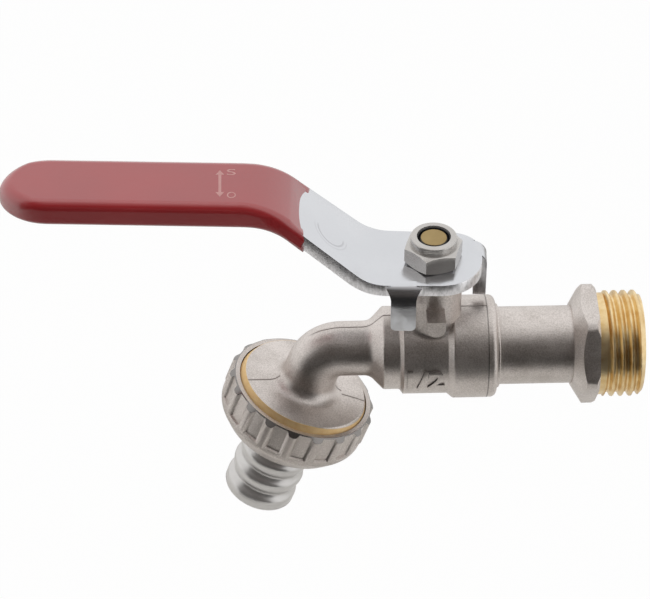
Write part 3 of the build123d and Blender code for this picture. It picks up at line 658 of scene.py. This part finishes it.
red_dip, shader, place = new_finish("red_dip", {"Coat Weight": 1.0, "Coat Roughness": 0.2,
                                                "Specular IOR Level": 0.95})
peel, depth = place.noise(260), place.noise(60)
feed(shader, {"Base Color": depth.mix(RED_DARK, RED_LIGHT),
              "Roughness": 0.30 + depth * 0.1,
              "Normal": (peel + place.noise(1800) * 0.12).bump(0.08, 0.3 * MM)})
finish_piece(bm, "grip_sleeve", "lever", [red_dip], ["lever_grip"], 50.0, flats_first=True)

# %% [markdown]
# The lock nut and the hose tail are turned and plated, so they are smoother than the forgings,
# with faint rings from the tool. The stem's end is bare brass. Round its end face, its chamfer and
# thread are painted black: the black nylon of the nut's soft ring that covers them, and painted
# shade in that ring. Rings need no geometry: a sine of the height along the piece's own axis is
# enough for a bump this fine.

# %% Turned finishes
NYLON_AND_SHADE_BLACK, BLACK_RING_SOFT, STEM_FACE_R = (0.010, 0.010, 0.011, 1), 0.05 * MM, 2.5 * MM


def turned_finish(name, dark, light, upright, pitch, rough, metal=1.0, black_from=None):
    """A turned metal: rings along the z of its upright place, and a soft change of tone."""
    material, shader, place = new_finish(name, {"Metallic": metal})
    x, y, height = place.moved(upright).parts()
    rings = (height * (2 * math.pi / pitch)).sine()
    cloud = place.noise(220, 3.0)
    colour = cloud.mix(dark, light)
    if black_from:
        # Outside that radius the colour is painted black: the nylon over the thread and painted shade in
        # the nut's ring.
        black_ring = axis_distance(x, y).step(black_from - BLACK_RING_SOFT, black_from + BLACK_RING_SOFT)
        colour = black_ring.mix(colour, NYLON_AND_SHADE_BLACK)
        feed(shader, {"Metallic": 1 - black_ring})
    feed(shader, {"Base Color": colour, "Roughness": rough + cloud * 0.08,
                  "Normal": (rings * 0.5 + place.noise(2200)).bump(0.12, 0.06 * MM)})
    return material


stem_place = Matrix.Translation(stem_foot)
nut_nickel = turned_finish("nut_nickel", (0.44, 0.42, 0.40, 1), (0.60, 0.58, 0.56, 1),
                           stem_place, 0.4 * MM, 0.2, 0.72)
hose_nickel = turned_finish("hose_nickel", (0.56, 0.545, 0.53, 1), (0.70, 0.685, 0.67, 1),
                            outlet_place, 0.5 * MM, 0.26, 0.85)
stem_brass = turned_finish("stem_brass", (0.27, 0.19, 0.08, 1), (0.46, 0.34, 0.165, 1),
                           stem_place, 0.3 * MM, 0.3, black_from=STEM_FACE_R)
nodes["lock_nut"].data.materials[0] = nut_nickel
nodes["hose_tail"].data.materials[0] = hose_nickel
nodes["stem"].data.materials[0] = stem_brass
print("turned finishes for the lock nut, the hose tail and the stem")

# %% [markdown]
# The soft ring in the nut is black nylon. The ball, its seats and the seals lie inside the tap,
# where nobody sees them until it is taken apart. A speckled tone with a faint bump is enough for
# each, so one function makes them all.

# %% Inner finishes
INNER = [
    ("black_nylon", (0.008, 0.008, 0.009, 1), (0.02, 0.02, 0.022, 1), 0.4, 0.0, ["lock_nut_insert"]),
    ("ball_chrome", (0.70, 0.70, 0.72, 1), (0.78, 0.78, 0.80, 1), 0.05, 1.0, ["ball"]),
    ("seat_white", (0.78, 0.78, 0.75, 1), (0.88, 0.88, 0.86, 1), 0.4, 0.0,
     ["inlet_seat", "outlet_seat", "stem_thrust_washer"]),
    ("seal_rubber", (0.015, 0.015, 0.016, 1), (0.03, 0.03, 0.032, 1), 0.6, 0.0,
     ["lower_stem_o_ring", "upper_stem_o_ring", "hose_washer"]),
]

for name, dark, light, rough, metal, wearers in INNER:
    material, shader, place = new_finish(name, {"Metallic": metal})
    speck = place.noise(1200, 3.0)
    feed(shader, {"Base Color": speck.mix(dark, light), "Roughness": rough + speck * 0.1,
                  "Normal": speck.bump(0.1, 0.05 * MM)})
    for wearer in wearers:
        nodes[wearer].data.materials[0] = material
    print("finish:", name, "on", ", ".join(wearers))

# %% [markdown]
# The inlet thread is a half-inch pipe thread, which the solid only has as a plain cylinder. One
# pitch of the rounded thread form is spun round the axis while it moves along, so each turn meets
# the next one. Two flat cuts trim it, the end is pulled in to a chamfer, and a relief groove and a
# bore close it. A bump would leave the outline smooth, and here the outline shows.

# %% Inlet thread
CREST_R, ROOT_R, FORM_STEPS, FORM_FLAT = 10.4775 * MM, 9.62 * MM, 12, 1.3
BORE_R, THREAD_END, END_CHAMFER = 5.2 * MM, 8.9 * MM, 0.9 * MM
RELIEF_END, RELIEF_R, HEX_FACE = 1.5 * MM, 10.05 * MM, 0.01 * MM
TURN_STEPS, TURNS = 96, 6


def ring(bm, radius, x):
    """A circle of edges round the inlet's axis."""
    facing_x = Matrix.Translation((x, 0, 0)) @ Matrix.Rotation(math.pi / 2, 4, "Y")
    made = bmesh.ops.create_circle(bm, cap_ends=False, segments=TURN_STEPS, radius=radius, matrix=facing_x)
    return list({e for v in made["verts"] for e in v.link_edges})


def open_rim(bm, x):
    """The open edges that lie on the plane at x."""
    return [e for e in bm.edges if e.is_boundary and all(abs(v.co.x - x) < TOUCH for v in e.verts)]


bm = bmesh.new()
form = []
for k in range(FORM_STEPS + 1):
    share = k / FORM_STEPS
    wave = max(-1.0, min(1.0, -FORM_FLAT * math.cos(2 * math.pi * share)))
    radius = (CREST_R + ROOT_R) / 2 + wave * (CREST_R - ROOT_R) / 2
    form.append(bm.verts.new((RELIEF_END - PIPE_PITCH * (1 - share), 0, radius)))
edges = [bm.edges.new(pair) for pair in zip(form, form[1:])]
bmesh.ops.spin(bm, geom=form + edges, cent=(0, 0, 0), axis=(1, 0, 0), dvec=(PIPE_PITCH / TURN_STEPS, 0, 0),
               angle=2 * math.pi * TURNS, steps=TURN_STEPS * TURNS)
bmesh.ops.remove_doubles(bm, verts=bm.verts, dist=TOUCH)
for rim_x, way in ((RELIEF_END, -1), (THREAD_END, 1)):
    slice_at(bm, (rim_x, 0, 0), (way, 0, 0), drop=True)
for vert in bm.verts:
    limit = CREST_R - max(0.0, vert.co.x - (THREAD_END - END_CHAMFER))
    radius = math.hypot(vert.co.y, vert.co.z)
    if radius > limit:
        vert.co.y *= limit / radius
        vert.co.z *= limit / radius
for rim_x, way, inner_r in ((RELIEF_END, -1, RELIEF_R), (THREAD_END, 1, BORE_R)):
    rim = open_rim(bm, rim_x)
    bmesh.ops.triangle_fill(bm, use_beauty=True, edges=rim + ring(bm, inner_r, rim_x), normal=(way, 0, 0))
relief_foot, bore_foot = ring(bm, RELIEF_R, HEX_FACE), ring(bm, BORE_R, HEX_FACE)
bmesh.ops.bridge_loops(bm, edges=open_rim(bm, RELIEF_END) + relief_foot)
bmesh.ops.bridge_loops(bm, edges=[e for e in relief_foot if e.is_valid] + bore_foot)
bmesh.ops.bridge_loops(bm, edges=open_rim(bm, HEX_FACE) + open_rim(bm, THREAD_END))
bmesh.ops.recalc_face_normals(bm, faces=bm.faces)
print("thread: open edges left", sum(e.is_boundary for e in bm.edges))

# %% [markdown]
# The thread is cut after plating, so it is bare brass: stained in places, with fine lines from the
# lathe tool. The rest of the inlet tail keeps its nickel. It is a copy of its node, cut off at the
# hexagon's face where the new thread begins, with the cut closed again.

# %% Thread brass and inlet tail
THREAD_DARK, THREAD_LIGHT, LATHE_PITCH = (0.72, 0.49, 0.21, 1), (0.93, 0.75, 0.45, 1), 0.16 * MM

thread_brass, shader, place = new_finish("thread_brass", {"Metallic": 1.0})
stain = place.noise(300, 4.0, 0.6)
lathe = (place.parts()[0] * (2 * math.pi / LATHE_PITCH)).sine()
feed(shader, {"Base Color": stain.step(0.25, 0.7).mix(THREAD_DARK, THREAD_LIGHT),
              "Roughness": 0.26 + stain * 0.12,
              "Normal": (lathe * 0.4 + place.noise(1700)).bump(0.12, 0.05 * MM)})
finish_piece(bm, "inlet_thread", "tap_body", [thread_brass], ["inlet_connector"])

bm = merged_mesh("inlet_connector")
slice_at(bm, (HEX_FACE, 0, 0), (1, 0, 0), drop=True)
bmesh.ops.triangle_fill(bm, use_beauty=True, edges=open_rim(bm, HEX_FACE), normal=(1, 0, 0))
finish_piece(bm, "inlet_tail", "tap_body", [tail_nickel], ["inlet_connector"], 30.0,
             flats_first=True)

# %% [markdown]
# The union nut's ribs are half-round, and the lathe has cut their upper ends to a bright chamfer,
# so each shows a polished half-moon under the thin rim. The nut is one profile spun in small
# steps. The rows that make the ribs are then pushed out where a rib stands, and the cut follows
# by itself: on a 45-degree chamfer a point lies as far down as it stands out.

# %% Union nut
RIBS, RIB_STEPS, RIB_FROM = 18, 24, math.radians(19)
RIB_HALF, RIB_BLUNT, RIB_POWER = 1.12 * MM, 3, 0.6
NUT_BORE, NUT_RIM, NUT_PANEL, NUT_RIB = 13.321 * MM, 14.25 * MM, 14.4 * MM, 15.1 * MM
RIB_END, NUT_FLOOR, NUT_BOTTOM, TAIL_HOLE = 6.2 * MM, 9.4 * MM, 10.8 * MM, 7.6 * MM
NUT_SKIRT, SKIRT_STEP, SKIRT_END, SKIRT_ROUND = 14.85 * MM, 0.2 * MM, RIB_END + 1.2 * MM, 0.6 * MM
BOTTOM_R, ROUNDED_FROM = 12.2 * MM, 12.0 * MM


def spun_profile(outline, steps):
    """A closed outline of radius and depth, spun round the upright axis."""
    bm = bmesh.new()
    profile = [bm.verts.new((radius, 0, down)) for radius, down in outline]
    loop = [bm.edges.new(pair) for pair in zip(profile, profile[1:] + profile[:1])]
    bmesh.ops.spin(bm, geom=profile + loop, cent=(0, 0, 0), axis=(0, 0, 1), angle=2 * math.pi,
                   steps=steps, use_merge=True)
    bmesh.ops.remove_doubles(bm, verts=bm.verts, dist=TOUCH)
    return bm


def lay_in_outlet(bm):
    """Turns the faces outwards and carries an upright piece to the leaning outlet."""
    bmesh.ops.recalc_face_normals(bm, faces=bm.faces)
    bmesh.ops.transform(bm, matrix=outlet_place, verts=bm.verts)


def to_be_rounded(vert):
    on_ring = abs(vert.co.z - SKIRT_END) < TOUCH or abs(vert.co.z - NUT_BOTTOM) < TOUCH
    return on_ring and math.hypot(vert.co.x, vert.co.y) > ROUNDED_FROM


bm = spun_profile([(NUT_BORE, 0), (NUT_RIM, 0), (NUT_PANEL, NUT_PANEL - NUT_RIM),
                   (NUT_PANEL, RIB_END - SKIRT_STEP), (NUT_SKIRT, RIB_END), (NUT_SKIRT, SKIRT_END),
                   (BOTTOM_R, NUT_BOTTOM), (TAIL_HOLE, NUT_BOTTOM), (TAIL_HOLE, NUT_FLOOR),
                   (NUT_BORE, NUT_FLOOR)], RIBS * RIB_STEPS)
rib_turn = 2 * math.pi / RIBS
for vert in bm.verts:
    radius, angle = math.hypot(vert.co.x, vert.co.y), math.atan2(vert.co.y, vert.co.x)
    if abs(radius - NUT_PANEL) > TOUCH:
        continue
    off = ((angle - RIB_FROM + rib_turn / 2) % rib_turn - rib_turn / 2) * NUT_PANEL / RIB_HALF
    stand = (1 - min(1.0, abs(off)) ** RIB_BLUNT) ** RIB_POWER * (NUT_RIB - NUT_PANEL)
    vert.co.x *= (radius + stand) / radius
    vert.co.y *= (radius + stand) / radius
    if vert.co.z < RIB_END / 2:
        vert.co.z += stand
rounded = [e for e in bm.edges if all(to_be_rounded(v) for v in e.verts)]
bmesh.ops.bevel(bm, geom=rounded, offset=SKIRT_ROUND, offset_type="OFFSET", affect="EDGES", segments=4,
                profile=0.5, material=-1)
lay_in_outlet(bm)
print("union nut:", RIBS, "ribs")

# %% [markdown]
# The nut's skin is the blasted nickel, a little darker than the body's. The chamfer is cut through
# it and is smooth, and its colour is painted dark: a painted reflection of the dark side of the
# room in the polished half-moons. The cut is a cone, so a point lies on it where its radius less
# its depth is the radius of the rim, and the shader needs no more than that to find the half-moons.

# %% Union nut finish
UNION_DARKER, CUT_NICKEL_PAINTED_DARK = 0.07, (0.27, 0.255, 0.245, 1)
CUT_OUT, CUT_IN = NUT_RIM - 0.08 * MM, NUT_RIM - 0.03 * MM

union_nickel, shader, place = new_finish("union_nickel", {"Metallic": 1.0})
colour, rough, height = blasted_skin(place, UNION_DARKER)
across, deep, along = place.moved(outlet_place).parts()
turned = (axis_distance(across, deep) - along).step(CUT_OUT, CUT_IN)
# The half-moons' dark colour is a painted reflection of the dark room.
feed(shader, {"Base Color": turned.mix(colour, CUT_NICKEL_PAINTED_DARK),
              "Roughness": rough * (1 - turned) + turned * 0.2,
              "Normal": (height * (1 - turned)).bump(0.3, SKIN_DEPTH)})
finish_piece(bm, "union_nut_ribbed", "union_nut", [union_nickel], ["union_nut"], 38.0)

# %% [markdown]
# The hose tail's ridges are barbs: a short shoulder faces the nut and holds the hose, and a long
# taper runs towards the tip, so the hose slides on but not off. From above only the shoulders
# look at the dark side of the room, which draws the short dark bars. The profile is spun round
# the outlet's axis, with the flange that the union nut clamps.

# %% Hose tail
BARBS, BARB_TOP, BARB_FOOT = 3, 7.3 * MM, 6.35 * MM
BARB_FROM, BARB_PITCH, TAIL_STEPS = 10.43 * MM, 4.57 * MM, 128
BARB_FORM = [(0.0, 0.0), (0.06, 0.05), (0.15, 0.22), (0.25, 0.72), (0.31, 0.93), (0.38, 1.0),
             (0.52, 0.95), (0.70, 0.72), (0.85, 0.40), (0.95, 0.12)]
UP_TO_CREST = 6
TAIL_BORE, TAIL_FLANGE_R, TAIL_FLANGE, TAIL_END = 4.8 * MM, 12.4 * MM, 7.65 * MM, 28.3 * MM
TIP_ROUND, TIP_IN, TIP_BACK = 0.6 * MM, 0.25 * MM, 0.15 * MM

outline = [(TAIL_BORE, TAIL_FLANGE), (TAIL_FLANGE_R, TAIL_FLANGE), (TAIL_FLANGE_R, NUT_FLOOR),
           (BARB_FOOT, NUT_FLOOR)]
for k in range(BARBS + 1):
    points = BARB_FORM if k < BARBS else BARB_FORM[:UP_TO_CREST]
    for share, up in points:
        outline.append((BARB_FOOT + (BARB_TOP - BARB_FOOT) * up, BARB_FROM + BARB_PITCH * (k + share)))
outline += [(BARB_TOP, TAIL_END - TIP_ROUND), (BARB_TOP - TIP_IN, TAIL_END - TIP_BACK),
            (BARB_TOP - TIP_ROUND, TAIL_END), (TAIL_BORE, TAIL_END)]
bm = spun_profile(outline, TAIL_STEPS)
lay_in_outlet(bm)
finish_piece(bm, "hose_tail_barbed", "hose_tail", [hose_nickel], ["hose_tail"], 50.0)

# %% [markdown]
# The barrel carries its pipe size as raised numerals from the forging die. A text curve gives
# their outline; it becomes a mesh, is sliced into narrow bands so that it can bend, and is wrapped
# round the barrel with its foot a little inside the skin. The numerals' flanks are a rougher nickel
# than their tops, and painted darker, as painted shade beside the strokes.

# %% Size numerals
BARREL_R, TEXT_FOOT, TEXT_RISE, TEXT_ROUND = 9.15 * MM, 0.3 * MM, 0.36 * MM, 0.12 * MM
TEXT_X, TEXT_WIDE, TEXT_LOW, TEXT_HIGH = -37.4 * MM, 7.3 * MM, -3.1 * MM, 1.5 * MM
TEXT_SIZE, TEXT_BANDS, FLANK_BELOW = 6.4 * MM, 10, 0.5
FLANK_SHADE, FLANK_SHADE_SHARE = (0.08, 0.07, 0.065, 1), 0.7


def text_mesh(words, size, rise, name, rounding=0.0):
    """A closed mesh of some characters, standing on the plane z = 0."""
    curve = bpy.data.curves.new(name, "FONT")
    curve.body, curve.size, curve.resolution_u = words, size, 6
    curve.extrude, curve.bevel_depth, curve.bevel_resolution = rise / 2 - rounding, rounding, 1
    curve.offset = rounding
    holder = bpy.data.objects.new(name, curve)
    scene.collection.objects.link(holder)
    mesh = bpy.data.meshes.new_from_object(holder.evaluated_get(bpy.context.evaluated_depsgraph_get()))
    bpy.data.objects.remove(holder)
    bm = bmesh.new()
    bm.from_mesh(mesh)
    bmesh.ops.remove_doubles(bm, verts=bm.verts, dist=2 * TOUCH)
    bmesh.ops.translate(bm, verts=bm.verts, vec=(0, 0, rise / 2))
    return bm


def fit_box(bm, left, right, low, high):
    """Stretches a flat mesh to a box in x and y."""
    xs, ys = [v.co.x for v in bm.verts], [v.co.y for v in bm.verts]
    for vert in bm.verts:
        vert.co.x = left + (vert.co.x - min(xs)) / (max(xs) - min(xs)) * (right - left)
        vert.co.y = low + (vert.co.y - min(ys)) / (max(ys) - min(ys)) * (high - low)


bm = text_mesh("1/2", TEXT_SIZE, TEXT_FOOT + TEXT_RISE, "size_numerals", TEXT_ROUND)
fit_box(bm, TEXT_X, TEXT_X + TEXT_WIDE, TEXT_LOW, TEXT_HIGH)
for k in range(1, TEXT_BANDS):
    slice_at(bm, (0, TEXT_LOW + (TEXT_HIGH - TEXT_LOW) * k / TEXT_BANDS, 0), (0, 1, 0))
for vert in bm.verts:
    radius, angle = BARREL_R - TEXT_FOOT + vert.co.z, vert.co.y / BARREL_R
    vert.co = Vector((vert.co.x, -radius * math.cos(angle), radius * math.sin(angle)))
bmesh.ops.recalc_face_normals(bm, faces=bm.faces)
for face in bm.faces:
    middle = face.calc_center_median()
    outward = Vector((0, middle.y, middle.z)).normalized()
    face.material_index = int(face.normal.dot(outward) < FLANK_BELOW)

shaded_flank_nickel, shader, place = new_finish("shaded_flank_nickel", {"Metallic": 1.0})
colour, rough, height = blasted_skin(place)
# Painted shade on the numerals' flanks: a dark mix in their colour.
shaded_flank_colour = colour.node("ShaderNodeMix", {"data_type": "RGBA"}, {0: FLANK_SHADE_SHARE, 6: colour, 7: FLANK_SHADE}, 2)
feed(shader, {"Base Color": shaded_flank_colour, "Roughness": rough + 0.2, "Normal": height.bump(SKIN_BUMP, SKIN_DEPTH)})
finish_piece(bm, "size_numerals", "tap_body", [tail_nickel, shaded_flank_nickel])

# %% [markdown]
# The grip's top is printed in a pale ink: an arrow with two heads that shows which way the lever
# turns, and the letters O and S for open and shut. A shader could draw the arrow but hardly the
# letters, so all the marks are very thin plates that stand on the grip.

# %% Printed marks
GRIP_TOP, INK_RISE, INK_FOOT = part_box("lever_grip")[1].z, 0.02 * MM, 0.03 * MM
ARROW_X, ARROW_Y, SHAFT_WIDE, SHAFT_LONG = -40.4 * MM, 1.9 * MM, 0.55 * MM, 5.4 * MM
HEAD_R, HEAD_OFF = 0.95 * MM, 3.2 * MM
LETTERS, LETTER_LEFT, LETTER_RIGHT = {"O": -1.8 * MM, "S": 5.4 * MM}, -39.1 * MM, -37.4 * MM
LETTER_SIZE, LETTER_HALF = 2.0 * MM, 0.95 * MM
INK_DARK, INK_LIGHT = (0.36, 0.17, 0.165, 1), (0.46, 0.25, 0.235, 1)

ink, shader, place = new_finish("print_ink", {})
worn = place.noise(700, 3.0)
feed(shader, {"Base Color": worn.mix(INK_DARK, INK_LIGHT), "Roughness": 0.35 + worn * 0.1})

plate = INK_RISE + INK_FOOT
bm = bmesh.new()
shaft = bmesh.ops.create_cube(bm, size=1.0)["verts"]
bmesh.ops.scale(bm, verts=shaft, vec=(SHAFT_WIDE, SHAFT_LONG, plate))
for end, half_turn in ((-1, math.pi), (1, 0.0)):
    head = bmesh.ops.create_cone(bm, cap_ends=True, segments=3, radius1=HEAD_R, radius2=HEAD_R,
                                 depth=plate)["verts"]
    bmesh.ops.rotate(bm, verts=head, cent=(0, 0, 0), matrix=Matrix.Rotation(half_turn, 3, "Z"))
    bmesh.ops.translate(bm, verts=head, vec=(0, end * HEAD_OFF, 0))
bmesh.ops.translate(bm, verts=bm.verts, vec=(ARROW_X, ARROW_Y, (INK_RISE - INK_FOOT) / 2))
for letter, y in LETTERS.items():
    mark = text_mesh(letter, LETTER_SIZE, plate, "mark")
    fit_box(mark, LETTER_LEFT, LETTER_RIGHT, y - LETTER_HALF, y + LETTER_HALF)
    bmesh.ops.translate(mark, verts=mark.verts, vec=(0, 0, -INK_FOOT))
    mark_mesh = bpy.data.meshes.new("mark")
    mark.to_mesh(mark_mesh)
    mark.free()
    bm.from_mesh(mark_mesh)
bmesh.ops.recalc_face_normals(bm, faces=bm.faces)
bmesh.ops.translate(bm, verts=bm.verts, vec=(stem_foot.x, 0, GRIP_TOP))
finish_piece(bm, "grip_marks", "lever", [ink])
